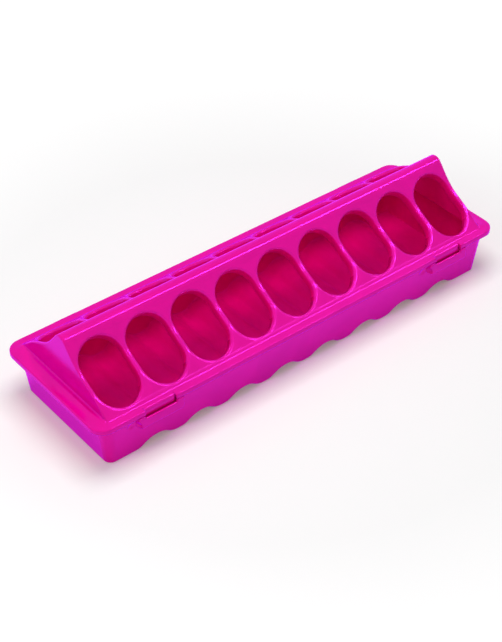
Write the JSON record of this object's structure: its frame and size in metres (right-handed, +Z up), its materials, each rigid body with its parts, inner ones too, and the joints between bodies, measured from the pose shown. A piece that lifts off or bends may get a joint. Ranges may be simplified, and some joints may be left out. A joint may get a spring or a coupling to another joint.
{
  "type": "poultry feeder",
  "caption": "Long moulded trough with a wavy floor under a hinged gable lid with rows of oval feeding holes, from which young poultry eat without scattering feed.",
  "frame": {"origin": "on the ground under the middle of the feeder", "axes": "+X along the feeder, +Y towards the hinged back, -Y the front with the latches, +Z up"},
  "size_m": [0.508, 0.1624, 0.1106],
  "materials": {
    "trough_plastic": "glossy moulded polypropylene",
    "lid_plastic": "glossy moulded polypropylene"
  },
  "bodies": {
    "trough": {"trough": "trough_plastic"},
    "lid": {"lid": "lid_plastic"}
  },
  "joints": [
    {"name": "lid_hinge", "type": "hinge", "parent": "trough", "child": "lid", "pos_m": [0, 0.07832, 0.0445], "axis": [-1, 0, 0], "range_deg": [0, 165]}
  ]
}
